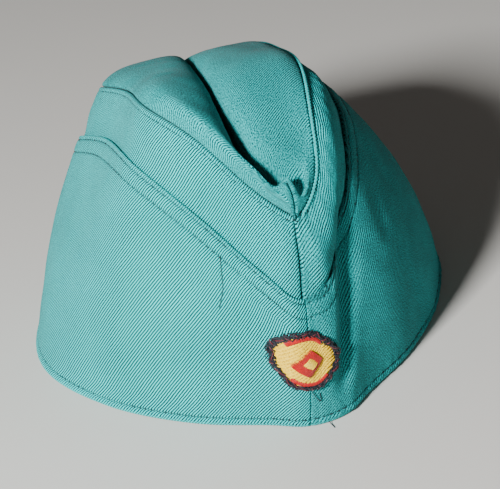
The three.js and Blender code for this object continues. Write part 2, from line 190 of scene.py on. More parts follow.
# The serge of each piece: how its ribs lean from straight up towards the back, in degrees, the distance from
# rib to rib in mm, and how far the ribs sink where it is least and most rubbed
SERGE = {
    "turn_up_right": (-28, 1.14, 0.0, 0.15),
    "turn_up_left": (47, 1.14, 0.6, 0.9),
    "side_right": (-26, 1.14, 0.0, 0.25),
    "side_left": (47, 1.2, 0.25, 0.8),
    "crown_right": (5, 1.05, 0.5, 0.9),
    "crown_left": (-45, 0.9, 0.5, 0.9),
}
YARN_PITCH = 0.0011  # from yarn to yarn along a rib
YARN_DIP = 0.13  # how far a rib dips between its yarns, as a share of its height
RIB_WANDER = 0.8  # how far the ribs stray, as a share of the distance between them
# how strongly the painted shade of the furrows shows against the ribs
RIB_CONTRAST = 1.9
RUBBED_RELIEF = 0.4  # the height of cloth rubbed flat, as a share of a rib's

# Loose threads: places u and v on the wall, and lifts off it in mm
LOOSE_THREADS = {
    "turn_up": [
        [-0.198, -0.1955, -0.194, -0.197, -0.1995],
        [0.685, 0.63, 0.58, 0.53, 0.497],
        [0.1, 0.35, 0.25, 0.4, 0.1],
    ],
    "cockade": [
        [-0.05, -0.04, -0.027, -0.0215, -0.023],
        [0.235, 0.195, 0.155, 0.152, 0.19],
        [0.2, 0.6, 0.5, 0.5, 0.2],
    ],
    "hem": [
        [-0.002, -0.001, 0.0, 0.001, 0.001],
        [0.012, 0.005, 0.003, 0.002, 0.002],
        [0.1, 1.2, 2.2, 3.2, 4.2],
    ],
}

FLOOR_REACH = 3.0
FLOOR_DROP = 0.0002  # the floor lies this far under the hem
WORLD_COLOUR = (1.0, 0.92, 0.88, 1)
WORLD_STRENGTH = 0.07
LIGHTS = [
    ("key", (-0.8, -0.74, 0.69), 0.2, 43.0),
    ("fill", (0.9, -0.9, 0.9), 0.8, 0.6),
]
LIGHT_AIM = (0, 0, 0.06)
CAMERA_PLACE = (-0.1852, -0.6743, 0.4315)
CAMERA_AZIMUTH = 15.95  # degrees round from the front towards the wearer's right
CAMERA_ELEVATION = 29.85
CAMERA_ROLL = -9.14
CAMERA_LENS = 137.06  # mm
CAMERA_SENSOR = 36


# Rows of the turn-up: distances up from the hem and from its top edge, in metres
HEM_ROWS = 0.0022 + 0.001 * np.array([0, 0.4, 0.8, 1.2, 1.6, 2, 2.4, 2.8, 3.2, 3.8, 4.6, 5.6, 6.8, 8.2])
EDGE_ROWS = -0.001 * np.array(
    [13, 11.5, 10.2, 9.2, 8.6, 8.2, 7.8, 7.4, 7, 6.4, 5.4, 4.4, 3.6, 3, 2.6, 2.3, 2, 1.7, 1.4, 1.1, 0.7]
)
# Rows of the side panel: up from the hem, from the turn-up's edge and from the top seam
PANEL_LOW_ROWS = np.linspace(0.0045, 0.03, 10)
PANEL_EDGE_ROWS = 0.001 * np.array([-8, -5, -3, -1.5, 0, 1.5, 3])
PANEL_TOP_ROWS = -0.001 * np.array([6.5, 5.4, 4.5, 3.8, 3.2, 2.8, 2.5, 2.2, 1.9, 1.65, 1.4])


def length(description, default):
    """A size in metres that a user can change."""
    return bpy.props.FloatProperty(
        description=description, default=default, subtype="DISTANCE", unit="LENGTH", precision=4
    )


def to_linear(hex_colour):
    """An sRGB hex colour such as 3f7a78 as linear red, green and blue."""
    srgb = np.array([int(hex_colour[i : i + 2], 16) for i in (0, 2, 4)]) / 255
    return tuple(np.where(srgb <= 0.04045, srgb / 12.92, ((srgb + 0.055) / 1.055) ** 2.4))


def colour(description, default):
    """A colour that a user can change, given as sRGB hex."""
    return bpy.props.FloatVectorProperty(
        description=description, default=to_linear(default), subtype="COLOR", min=0, max=1
    )


class CapSizes(bpy.types.PropertyGroup):
    """Driving sizes, the same as the part's."""

    hem_half_length: length("From the hem's middle to its front or back", 0.1)
    hem_half_width: length("From the hem's middle to its side", 0.09)
    seam_height: length("The highest point of the two top seams", 0.124)
    seam_half_width: length("From the crown's middle to a top seam", 0.034)
    seam_front: length("The front end of the top seams, ahead of the middle", 0.092)
    seam_back: length("Their back end, behind the middle", 0.08)
    seam_drift: length("How far the crown leans to the right", 0.005)
    side_bulge: length("How far the cloth bows out", 0.01)
    nose_bulge: length("How far the front bows out", 0.0065)
    crease_rise: length("How high the crown's ridges stand", 0.01)
    cleft_depth: length("How deep the cleft goes", 0.022)
    panel_cloth: length("Thickness of side panels and crown", 0.0012)
    turn_up_cloth: length("Thickness of the doubled turn-up", 0.0014)
    gap: length("Air between the turn-up and the panel behind it", 0.0003)
    cockade_width: length("The long way of the cockade", 0.0266)
    cockade_height: length("The short way of the cockade", 0.0238)
    cockade_edge: length("Width of the overstitched edge", 0.002)


class CapColours(bpy.types.PropertyGroup):
    """Colours of cloth and thread."""

    rib: colour("The raised ribs of the twill", "20d8d8")
    # painted shade: the furrows' colour is the cloth's own, darkened for the shade between the ribs
    furrow: colour("Between the ribs", "07171a")
    thread: colour("The rows of stitches", "07262a")
    gold: colour("The cockade's gold satin stitches", "f2c41c")
    red: colour("The cockade's red satin stitches", "b40c0c")
    dark: colour("The cockade's edge", "12141f")
    plum: colour("Strands that show in the cockade's edge", "5c1c26")
    floor: colour("The floor of the stage", "c6c4bf")


def sizes():
    return bpy.context.scene.cap_sizes


def colours():
    return bpy.context.scene.cap_colours


def hermite(knots, values, at):
    """A cubic Hermite curve through values at knots.

    The slope at an inner knot is the mean of the rises beside it, each weighted by the other's distance. The
    slope at an end is twice the last rise less the slope beside it."""
    step = np.diff(knots)
    rise = np.diff(values, axis=-1) / step
    slope = np.empty_like(values)
    slope[..., 1:-1] = (rise[..., :-1] * step[1:] + rise[..., 1:] * step[:-1]) / (step[:-1] + step[1:])
    slope[..., 0] = 2 * rise[..., 0] - slope[..., 1]
    slope[..., -1] = 2 * rise[..., -1] - slope[..., -2]
    i = np.clip(np.searchsorted(knots, at, side="right") - 1, 0, len(knots) - 2)

    def pick(array, place):
        return np.take_along_axis(np.broadcast_to(array, (*at.shape[:-1], array.shape[-1])), place, -1)

    size = step[i]
    t = (at - knots[i]) / size
    start = (2 * t - 3) * t * t + 1
    away = ((t - 2) * t + 1) * t * size
    back = (t - 1) * t * t * size
    level = start * pick(values, i) + (1 - start) * pick(values, i + 1)
    return level + away * pick(slope, i) + back * pick(slope, i + 1)


def along(table, name, at):
    """A table's column as a smooth curve along its stations."""
    return hermite(table["station"], table[name], at)


def smooth(x):
    """0 below 0, 1 above 1 and a soft step between."""
    x = np.clip(x, 0, 1)
    return x * x * (3 - 2 * x)


def bell(x):
    return np.exp(-x * x)


def unit(vectors):
    return vectors / np.maximum(np.linalg.norm(vectors, axis=-1, keepdims=True), 1e-12)


def dot(a, b):
    return (a * b).sum(-1, keepdims=True)


def grown(points, axis=0):
    """The length run through along an axis of a grid of points."""
    steps = np.linalg.norm(np.diff(points, axis=axis), axis=-1)
    return np.concatenate([np.zeros_like(np.take(steps, [0], axis)), np.cumsum(steps, axis)], axis)


def top_seam(station, side):
    """A top seam: half width and height by the tables, and a cosine from its front end to its back end."""
    s = sizes()
    half = s.seam_half_width * along(WALL, "seam", station)
    back = (1 - np.cos(np.pi * station)) / 2
    x = s.seam_drift * along(WALL, "drift", station) + side * half
    y = -s.seam_front + (s.seam_front + s.seam_back) * back
    return np.stack([x, y, s.seam_height * along(WALL, "height", station)], -1)


def dent_depth(u, v):
    """The sum over DENTS of a bell round each middle."""
    total = np.zeros(np.broadcast(u, v).shape)
    for middle, up, half_u, half_v, depth in zip(*DENTS.values()):
        total += sizes().side_bulge * depth * bell((u - middle) / half_u) * bell((v - up) / half_v)
    return total


def crease_depth(u, v):
    """The sum over CREASES of a bell across each line, which fades to nothing past its ends."""
    total = np.zeros(np.broadcast(u, v).shape)
    for u0, v0, u1, v1, width, depth in zip(*CREASES.values()):
        way = np.array([(u1 - u0) * AROUND, (v1 - v0) * UPWARD])
        long = np.hypot(*way)
        way /= long
        x, y = (u - u0) * AROUND, (v - v0) * UPWARD
        share = (x * way[0] + y * way[1]) / long
        across = (y * way[0] - x * way[1]) / (FOLD_WIDTH * width)
        total += FOLD_DEPTH * depth * bell(across) * smooth(1.5 - np.abs(2 * share - 1))
    return total


def bare_wall(u, v):
    """The cap's outer side face, before the part's box was centred over the origin.

    From the hem, an oval by the tables, straight up to the top seam, plus an outward bulge of 4 v (1 - v),
    less dents and creases. u runs round from the front (0) over the left to the back (1) or over the right
    to the back (-1), and v up from the hem (0) to the top seam (1)."""
    s = sizes()
    u, v = np.broadcast_arrays(u, v)
    side = np.where(u < 0, -1.0, 1.0)
    station = np.abs(u)
    turn = np.pi * station
    x = side * s.hem_half_width * along(WALL, "hem", station)
    hem = np.stack([x, -s.hem_half_length * np.cos(turn), 0 * u], -1)
    outward = np.stack([side * np.sin(turn), -np.cos(turn), 0 * u], -1)
    bow = np.where(side > 0, along(WALL, "bowLeft", station), along(WALL, "bowRight", station))
    bulge = s.side_bulge * bow * smooth(station / BOW_START) + s.nose_bulge * np.maximum(0, np.cos(turn)) ** 4
    rise = 4 * v * (1 - v)
    push = bulge * rise - (dent_depth(u, v) + crease_depth(u, v)) * np.minimum(1, 2 * rise)
    return hem + (top_seam(station, side) - hem) * v[..., None] + outward * push[..., None]


@functools.cache
def cad_shift():
    """How far the part moved when its box was centred over the origin: the box's middle less the walls'."""
    points = bare_wall(*np.meshgrid(np.linspace(-1, 1, 721), np.linspace(0, 0.85, 60))).reshape(-1, 3)
    return (np.array(CAD_BOX).sum(0) - points.min(0) - points.max(0)) / 2 * np.array([1, 1, 0])


def wall(u, v):
    """The cap's outer side face, in the part's frame."""
    return bare_wall(u, v) + cad_shift()


def crown(station, t):
    """The crown's top face: folds by the tables at each station, joined by smooth curves across it."""
    s = sizes()
    station, t = np.broadcast_arrays(station, t)
    at = np.clip(station[..., :1], CROWN_END, 1 - CROWN_END)
    fold = {name: along(FOLDS, name, at) for name in FOLDS if name != "station"}
    names = list(fold)
    one, none = np.ones_like(at), np.zeros_like(at)
    places = [-one, *(fold[name] for name in names[::2]), one]
    rises = [fold[name] * (s.crease_rise if "Rise" in name else -s.cleft_depth) for name in names[1::2]]
    seam = top_seam(station, 1.0)
    half = s.seam_half_width * along(WALL, "seam", station)
    middle = s.seam_drift * along(WALL, "drift", station)
    ends = smooth(np.minimum(station, 1 - station) / CROWN_END)
    x = middle + half * hermite(ACROSS, np.concatenate(places, -1), t)
    z = seam[..., 2] + ends * hermite(ACROSS, np.concatenate([none, *rises, none], -1), t)
    return np.stack([x, seam[..., 1], z], -1) + cad_shift()


def unevenness(x, y):
    """Slow waves of a handled cloth: three sines of x and y in metres, of up to 0.2 mm together."""
    waves = np.sin(190 * x + 70 * y) + 0.8 * np.sin(310 * y - 120 * x + 1)
    return 0.00009 * (waves + 0.5 * np.sin(420 * x + 260 * y + 2))


def pucker(run, far):
    """The small waves that stitches draw beside an edge: a sine of the run, fading with the distance."""
    return 0.00012 * np.sin(2 * math.pi * run / 0.0061 + 2.2 * np.sin(run * 90)) * bell(far / 0.006)


def normal(surface, a, b):
    """The unit normal, from the slopes over a small step each way."""
    step = 2e-4
    slope_a = surface(a + step, b) - surface(a - step, b)
    slope_b = surface(a, b + step) - surface(a, b - step)
    return unit(np.cross(slope_a, slope_b))


def inward(u, v):
    """The way in from the wall's face, level at the hem."""
    way = -normal(wall, u, v)
    way[..., 2] *= smooth(np.broadcast_to(v, way.shape[:-1]) / 0.1)
    return unit(way)


def crown_up(station, t):
    return -normal(crown, station, t)


def lean(u, v):
    """u at a height: the front seam leans from hem to top, and the rest shares its lean less and less."""
    end = np.where(u < FRONT_SEAM_TOP, -1.0, 1.0)
    share = (end - u) / (end - FRONT_SEAM_TOP)
    return u + (FRONT_SEAM_HEM - FRONT_SEAM_TOP) * (1 - v) * share


def wall_height(u):
    """The length of the wall from hem to top seam."""
    return np.linalg.norm(wall(u, 1.0 + 0 * u) - wall(u, 0 * u), axis=-1)


def turn_up_edge(u):
    return along(WALL, "turnUp", np.abs(u))


BORDERS = {"start": (0, False), "end": (0, True), "low": (1, False), "high": (1, True)}


def line(grid, border, inside=0):
    """The points along a border of a grid, or the ones some rows inside it."""
    axis, at_end = BORDERS[border]
    return np.take(grid, -1 - inside if at_end else inside, axis)


def add_rows(sheet, border, points, half, wear_and_shade):
    """Adds rows of points beyond a border of a sheet, with a half thickness and a wear value for each row:
    above 0 worn cloth, lighter; below 0 painted shade.
    """
    axis, at_end = BORDERS[border]
    last, before = line(sheet["middle"], border), line(sheet["middle"], border, 1)
    uv_last, uv_before = line(sheet["uv"], border), line(sheet["uv"], border, 1)
    uv_way = (uv_last - uv_before) / np.maximum(np.linalg.norm(last - before, axis=-1, keepdims=True), 1e-7)
    path = np.stack([last, *points])
    far = np.cumsum(np.linalg.norm(np.diff(path, axis=0), axis=-1), 0)
    uvs = [uv_last + uv_way * distance[..., None] for distance in far]
    new = {"middle": points, "half": half, "uv": uvs, "wear_and_shade": wear_and_shade}
    made = {}
    for name, grid in sheet.items():
        rows = [np.expand_dims(row, axis) for row in new[name]]
        made[name] = np.concatenate([grid, *rows] if at_end else [*rows[::-1], grid], axis)
    return made


def rim(sheet, border):
    """Rounds a folded edge: rows beyond it by half the thickness times a sine, as thick as its cosine."""
    last = line(sheet["middle"], border)
    way = unit(last - line(sheet["middle"], border, 1))
    radius = line(sheet["half"], border)
    wear_and_shade = line(sheet["wear_and_shade"], border)
    angles = np.radians([32, 56, 76, 87])
    points = [last + way * (radius * math.sin(a))[..., None] for a in angles]
    return add_rows(sheet, border, points, [radius * math.cos(a) for a in angles], [wear_and_shade] * len(angles))


def tuck(sheet, border, seam, way_in, depth=0.003):
    """Turns cloth in at a seam: a quadratic curve from the border by a corner beside it, then way_in."""
    last = line(sheet["middle"], border)
    radius = line(sheet["half"], border)
    beside = last - seam
    beside = unit(beside - dot(beside, way_in) * way_in)
    corner = seam + beside * (radius[..., None] + AIR) + way_in * (1.2 * radius[..., None])
    foot = corner + way_in * (1.2 * radius[..., None])
    steps = (0.2, 0.4, 0.6, 0.8, 1)
    points = [last * (1 - t) ** 2 + corner * (2 * t * (1 - t)) + foot * t * t for t in steps]
    points.append(foot + way_in * depth)
    # painted shade that deepens as the cloth turns into the seam
    wear_and_shade = [-0.25 * t + 0 * radius for t in (0, 1, 2, 4, 4, 4)]
    return add_rows(sheet, border, points, [radius] * len(points), wear_and_shade)


def new_sheet(middle, thickness, wear_and_shade, grain, from_front=False):
    """A sheet from the grid of its middle surface. Its UV is the length run round and up it, in metres, from
    its front or from its middle, turned by the grain's angle."""
    around = grown(middle, 0)
    if not from_front:
        around -= around[len(around) // 2]
    up = grown(middle, 1)
    c, s = math.cos(math.radians(grain)), math.sin(math.radians(grain))
    uv = np.stack([around * c - up * s, around * s + up * c], -1)
    half = np.full(middle.shape[:2], thickness / 2)
    return {"middle": middle, "half": half, "uv": uv, "wear_and_shade": np.broadcast_to(wear_and_shade, half.shape).copy()}


def placed(name, data):
    """A new object at the scene's origin."""
    thing = bpy.data.objects.new(name, data)
    bpy.context.scene.collection.objects.link(thing)
    return thing


def mesh_object(name, points, faces, material, uv=None, wear_and_shade=None):
    """An object at the origin from points and faces, with the faces turned outward."""
    mesh = bpy.data.meshes.new(name)
    mesh.from_pydata(points.reshape(-1, 3).tolist(), [], faces)
    mesh.update()
    if uv is not None:
        corners = np.empty(len(mesh.loops), np.int32)
        mesh.loops.foreach_get("vertex_index", corners)
        layer = mesh.uv_layers.new(name="cloth")
        layer.data.foreach_set("uv", uv.reshape(-1, 2)[corners].astype(np.float32).ravel())
    if wear_and_shade is not None:
        made = mesh.attributes.new("wear_and_shade", "FLOAT", "POINT")
        made.data.foreach_set("value", wear_and_shade.astype(np.float32).ravel())
    mesh.shade_smooth()
    mesh.materials.append(material)
    piece = placed(name, mesh)
    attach(piece, "root")
    return piece


def grid_faces(rows, row, start=0, wrap_rows=False, wrap_row=False):
    """The quads of a grid of points as an array of corner numbers."""
    i, j = np.meshgrid(np.arange(rows - (not wrap_rows)), np.arange(row - (not wrap_row)), indexing="ij")
    i2, j2 = (i + 1) % rows, (j + 1) % row
    quads = np.stack([i * row + j, i2 * row + j, i2 * row + j2, i * row + j2], -1)
    return quads.reshape(-1, 4) + start


def enclosed(points, quads):
    """Six times the volume that quads enclose, negative where they face inward."""
    a, b, c, d = (points[quads[:, k]] for k in range(4))
    return (a * (np.cross(b, c) + np.cross(c, d))).sum()


def sheet_object(name, sheet, material):
    """A closed piece of cloth: the middle surface pushed out and in by half its thickness, joined round its
    borders."""
    middle, half = sheet["middle"], sheet["half"]
    rows, row = half.shape
    out = unit(np.cross(np.gradient(middle, axis=0), np.gradient(middle, axis=1)))
    points = np.concatenate([middle + out * half[..., None], middle - out * half[..., None]]).reshape(-1, 3)
    under = rows * row
    number = np.arange(under).reshape(rows, row)
    loop = np.concatenate([number[0], number[1:, -1], number[-1, -2::-1], number[-2:0:-1, 0]])
    after = np.roll(loop, -1)
    face = grid_faces(rows, row)
    side = np.stack([loop, loop + under, after + under, after], -1)
    quads = np.concatenate([face, face[:, ::-1] + under, side[:, ::-1]])
    if enclosed(points, quads) < 0:
        quads = quads[:, ::-1]
    uv = np.concatenate([sheet["uv"], sheet["uv"]])
    wear_and_shade = np.concatenate([sheet["wear_and_shade"], sheet["wear_and_shade"]])
    return mesh_object(name, points, quads.tolist(), material, uv, wear_and_shade)


def lay_out(rows, start, end, room):
    """u and v of a grid on the wall, each row evenly divided between points a little before both seams.

    rows(u) gives the heights v of all rows at places round the cap."""
    fine = np.linspace(start, end, 600)[:, None]
    v = rows(fine)
    run = grown(wall(lean(fine, v), v), 0)
    share = np.linspace(0, 1, COLUMNS_AROUND)[:, None]
    want = room + (run[-1] - 2 * room) * share
    place = [np.interp(want[:, j], run[:, j], fine[:, 0]) for j in range(v.shape[1])]
    place = np.stack(place, 1)
    v = rows(place)
    return lean(place, v), v


def row_heights(groups, between):
    """A function of u that gives the heights v of all rows.

    groups are sets of rows at fixed distances from the hem ("hem"), the turn-up's edge ("edge") or the top
    seam ("top"), from below upward. Between two groups come evenly spaced rows, as many as between says."""
    plan = []
    for k, (anchor, offsets) in enumerate(groups):
        rows = [(offset, float(anchor == "edge"), float(anchor == "top")) for offset in offsets]
        if k:
            share = np.linspace(0, 1, between[k - 1] + 2)[1:-1, None]
            plan += (np.array(plan[-1]) * (1 - share) + np.array(rows[0]) * share).tolist()
        plan += rows
    distance, of_edge, of_top = np.array(plan).T

    def heights(u):
        return distance / wall_height(u) + of_edge * turn_up_edge(u) + of_top

    return heights


def side_ends(side):
    """The places round the cap where a side starts and ends, front seam and back seam."""
    return (FRONT_SEAM_TOP, 1.0) if side > 0 else (FRONT_SEAM_TOP, -1.0)


def seam_line(border, v, side):
    """The front or back seam at heights v, and the way in there."""
    top = np.full(v.shape, FRONT_SEAM_TOP if border == "start" else float(side))
    u = lean(top, v)
    return wall(u, v), inward(u, v)


def turn_up_piece(name, side, material):
    """A turn-up: rows from a lap inside the hem, half round under it, then up the wall to its top edge."""
    s = sizes()
    cloth = s.turn_up_cloth
    heights = row_heights([("hem", HEM_ROWS), ("edge", EDGE_ROWS)], [MIDDLE_ROWS])
    u, v = lay_out(heights, *side_ends(side), cloth / 2 + AIR)
    tall = wall_height(u)
    from_edge = turn_up_edge(u) * tall - v * tall
    from_hem = v * tall
    rows = ((from_edge - EDGE_STITCHES, 1), (from_edge - LOWER_STITCHES, 0.9), (from_hem - HEM_STITCHES, 1))
    rows_of_stitches = sum(depth * bell(far / GROOVE_WIDTH) for far, depth in rows)
    run = grown(wall(u, v), 0)
    sink = GROOVE * rows_of_stitches - 0.00015 * bell((from_edge - 0.0048) / 0.002)
    # the top edge: worn and lighter on the right turn-up, darkened on the left one by a painted shadow of the
    # gap beside it
    drawn, rubbed = (1.0, 0.2) if side < 0 else (0.4, -0.7)
    sink += unevenness(run, from_hem) + drawn * pucker(run, from_edge - 0.004)
    sink += pucker(run + 0.01, from_hem - 0.003) - HEM_SWELL * bell(from_hem / 0.003)
    middle = wall(u, v) + inward(u, v) * (cloth / 2 + sink)[..., None]
    # lighter worn top edge and hem fold, painted shade in the grooves of the rows of stitches
    wear_and_shade = rubbed * bell(from_edge / 0.0012) + 0.4 * bell(from_hem / 0.001) - 0.6 * rows_of_stitches
    sheet = new_sheet(middle, cloth, wear_and_shade, ribs_lean("turn_up", side), side > 0)
    # the fold under the hem: half a circle between the turn-up and the panel behind it
    bend = (cloth / 2 + s.gap + s.panel_cloth / 2) / 2
    rise = bend + cloth / 2
    base_u = u[:, 0]
    foot = wall(base_u, 0 * base_u)
    level = inward(base_u, 0 * base_u)
    up = np.array([0, 0, 1.0])
    points = []
    for angle in np.radians([0, 25, 50, 75, 100, 125, 150, 180]):
        depth = cloth / 2 - HEM_START + (bend + HEM_START / 2) * (1 - math.cos(angle))
        points.append(foot + level * depth + up * (rise - bend * math.sin(angle)))
    points.append(foot + level * (cloth / 2 + 2 * bend) + up * (rise + 0.0012))
    flat = np.full(base_u.shape, cloth / 2)
    sheet = add_rows(sheet, "low", points, [flat] * len(points), [0.4 + 0 * flat] * 3 + [0 * flat] * 6)
    for border in ("start", "end", "high"):
        sheet = rim(sheet, border)
    return sheet_object(name, sheet, material)


def side_piece(name, side, material):
    """A side panel: behind the turn-up, then out to the top seam, where it turns in."""
    s = sizes()
    groups = [("hem", PANEL_LOW_ROWS), ("edge", PANEL_EDGE_ROWS), ("top", PANEL_TOP_ROWS)]
    heights = row_heights(groups, [18, 18])
    u, v = lay_out(heights, *side_ends(side), SEAM_ROOM)
    tall = wall_height(u)
    from_seam = (1 - v) * tall
    edge = turn_up_edge(u)
    lay = (s.turn_up_cloth + s.gap) * (1 - smooth((v - edge) / (0.6 * (1 - edge))))
    above = (v - edge) * tall
    if side > 0:
        # beside the nose the left panel swells over the turn-up's edge
        near = smooth(u / 0.06) * smooth((0.42 - u) / 0.1)
        swollen = (s.turn_up_cloth + s.gap) * (1 - smooth((above - 0.0005) / 0.004))
        swell = PANEL_SWELL * bell((above - SWELL_HEIGHT) / SWELL_WIDTH)
        swollen = swollen - swell * smooth(from_seam / 0.007)
        lay = lay + (swollen - lay) * near
    row = bell((from_seam - SEAM_STITCHES) / GROOVE_WIDTH)
    run = grown(wall(u, v), 0)
    sink = lay + 0.5 * GROOVE * row - 0.0002 * bell((from_seam - 0.001) / 0.0008)
    sink += (unevenness(run, v * tall) + pucker(run, from_seam - 0.003)) * smooth(from_seam / 0.004)
    middle = wall(u, v) + inward(u, v) * (s.panel_cloth / 2 + sink)[..., None]
    # painted shade in the groove of the row of stitches; the fold at the top seam a little lighter with wear
    wear_and_shade = -0.25 * row + 0.1 * bell((from_seam - 0.001) / 0.0008)
    sheet = new_sheet(middle, s.panel_cloth, wear_and_shade, ribs_lean("side", side), side > 0)
    top_u = u[:, -1]
    sheet = tuck(sheet, "high", wall(top_u, 1 + 0 * top_u), seam_way(top_u))
    in_seam = len(sheet["half"][0]) - v.shape[1]
    for border in ("start", "end"):
        seam, way = seam_line(border, np.append(line(v, border), np.ones(in_seam)), side)
        depth = line(lay, border)
        depth = np.append(depth, np.full(in_seam, depth[-1]))
        sheet = tuck(sheet, border, seam + way * depth[:, None], way)
    return sheet_object(name, sheet, material)


def seam_way(u):
    """The way into a top seam, halfway between wall and crown."""
    station = np.clip(np.abs(u), CROWN_END, 1 - CROWN_END)
    side = np.where(u < 0, -1.0, 1.0)
    up = crown_up(station[:, None], side[:, None])[:, 0]
    return -unit(normal(wall, u, 1 + 0 * u) + up)


def crown_piece(name, side, material):
    """Half the crown, turned in at its top seam and at the centre seam."""
    s = sizes()
    stations = (1 - np.cos(np.linspace(0.26, math.pi - 0.12, STATIONS_ALONG))) / 2
    fine_t = side * np.linspace(1, 0, 400)
    run = grown(crown(stations[:, None], fine_t[None, :]), 1)
    room = np.minimum(SEAM_ROOM, 0.3 * run[:, -1])
    inner_room = np.minimum(CLEFT_ROOM, 0.3 * run[:, -1])
    share = np.linspace(0, 1, CROWN_ROWS)
    want = room[:, None] + (run[:, -1] - room - inner_room)[:, None] * share
    t = np.stack([np.interp(w, r, fine_t) for w, r in zip(want, run)])
    station = stations[:, None] + 0 * t
    up = crown_up(station, t)
    sink = 0.0001 * bell(want / 0.001)
    sink += unevenness(0.2 * station, want + 0.03) * smooth(want / 0.006)
    middle = crown(station, t) - up * (s.panel_cloth / 2 + sink)[..., None]
    # painted shade along the top seam
    wear_and_shade = -0.2 * bell(want / 0.0008)
    sheet = new_sheet(middle, s.panel_cloth, wear_and_shade, ribs_lean("crown", side))
    u = side * stations
    sheet = tuck(sheet, "low", wall(u, 1 + 0 * u), seam_way(u), 0.0015)
    centre = crown(stations[:, None], np.zeros((len(stations), 1)))[:, 0]
    down = -crown_up(stations[:, None], np.zeros((len(stations), 1)))[:, 0]
    sheet = tuck(sheet, "high", centre, down, 0.0003)
    return sheet_object(name, sheet, material)


def ribs_lean(group, side):
    """How the ribs of one of a group's two pieces lean, in degrees."""
    return SERGE[f"{group}_{'left' if side > 0 else 'right'}"][0]


def ringed(path, ups, thick):
    """Rings of points round the points of paths: thick times the cosine along a point's side way and the sine
    along its up way, where thick holds a radius for each point of a ring."""
    tangent = unit(np.gradient(path, axis=-2))
    side = unit(np.cross(tangent, ups))
    rise = np.cross(side, tangent)
    angle = np.linspace(0, 2 * math.pi, thick.shape[-1], endpoint=False)
    ring = side[..., None, :] * (thick * np.cos(angle))[..., None]
    return path[..., None, :] + ring + rise[..., None, :] * (thick * np.sin(angle))[..., None]


def tube_points(path, ups, radius, around, twist=0.0):
    """A tube round a path, whose radius swells by twist with the turn and the length, as a laid cord does."""
    turn = np.linspace(0, 2 * math.pi, around, endpoint=False)
    turn = turn + 2 * math.pi * grown(path)[:, None] / CORD_PITCH
    return ringed(path, ups, radius * (1 + twist * np.cos(turn)))


def capped_faces(rings, around, count):
    """Quads of tubes and the polygons that close their ends, for a count of equal tubes."""
    tube = grid_faces(rings, around, wrap_row=True)
    first = np.arange(around)
    last = first[::-1] + (rings - 1) * around
    faces = []
    for k in range(count):
        start = k * rings * around
        faces += (tube + start).tolist()
        faces += [(first + start).tolist(), (last + start).tolist()]
    return faces


def stitch_rings(path, ups, radius):
    """Rings of points round stitches, each a row of points of path: the radius falls towards both ends as the
    root of 1 - s to the fourth, where s runs from -1 to 1."""
    s = np.linspace(-1, 1, path.shape[1])
    thick = radius * np.sqrt(np.maximum(1 - s**4, 0.02))
    return ringed(path, ups, np.repeat(thick[:, None], 6, 1))


def finish_piece(piece, slot, *nodes):
    """Hides the part's nodes that a piece stands for; the piece and its slot are not used."""
    if nodes:
        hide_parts(*nodes)


def sew(name, groups, material, slot, *nodes):
    """Makes and finishes one piece of all the closed tubes in groups, each a grid of rings."""
    points = np.concatenate(groups)
    count, rings, around, _ = points.shape
    finish_piece(mesh_object(name, points, capped_faces(rings, around, count), material), slot, *nodes)


def sewn_row(places, v, out, seed, sink=0.0):
    """Stitches of slightly uneven length at an even pitch, along heights v of the wall at places round it."""
    path, ups = wall_path(lean(places, v), v, out)
    rng = np.random.default_rng(seed)
    run = grown(path, 0)
    count = int(run[-1] / STITCH_PITCH)
    middle = (np.arange(count) + 0.5) * run[-1] / count
    long = STITCH_LENGTH * rng.uniform(0.92, 1.06, count)

    def at(distance, array):
        return np.stack([np.interp(distance, run, array[:, k]) for k in range(3)], -1)

    up = unit(at(middle, ups))
    starts, ends = (at(middle + way * long / 2, path) - up * (sink + 0.0001) for way in (-1, 1))
    s = np.linspace(-1, 1, 7)[:, None]
    arch = up[:, None] * STITCH_ARCH * (1 - s * s)
    rows = starts[:, None] * (1 - s) / 2 + ends[:, None] * (1 + s) / 2 + arch
    return stitch_rings(rows, np.broadcast_to(up[:, None], rows.shape), THREAD_RADIUS)


def wall_path(u, v, out=0.0):
    """Points and outward ways along a line on the wall, lifted by out."""
    way = -inward(u, v)
    return wall(u, v) + way * np.broadcast_to(out, u.shape)[..., None], way


def node(tree, kind, inputs=(), out=0, **settings):
    """Adds a node with its settings and gives back one of its outputs.

    inputs holds values and other nodes' outputs, in the order of the sockets or by their names or places."""
    made = tree.nodes.new("ShaderNode" + kind)
    for name, value in settings.items():
        setattr(made, name, value)
    for key, value in inputs.items() if isinstance(inputs, dict) else enumerate(inputs):
        if isinstance(value, bpy.types.NodeSocket):
            tree.links.new(value, made.inputs[key])
        else:
            made.inputs[key].default_value = value
    return made.outputs[out]


def new_material(name, roughness, specular, sheen):
    """A node material, with a function that adds a node to it and one that feeds an input of its shader."""
    material = bpy.data.materials.new(name)
    material.use_nodes = True
    tree = material.node_tree
    shader = tree.nodes["Principled BSDF"]
    shader.inputs["Roughness"].default_value = roughness
    shader.inputs["Specular IOR Level"].default_value = specular
    shader.inputs["Sheen Weight"].default_value = sheen
    shader.inputs["Sheen Roughness"].default_value = 0.5

    def feed(socket, output):
        tree.links.new(output, shader.inputs[socket])

    return material, functools.partial(node, tree), feed


def rgba(linear, scale=1.0):
    return (*(min(1.0, c * scale) for c in linear), 1.0)


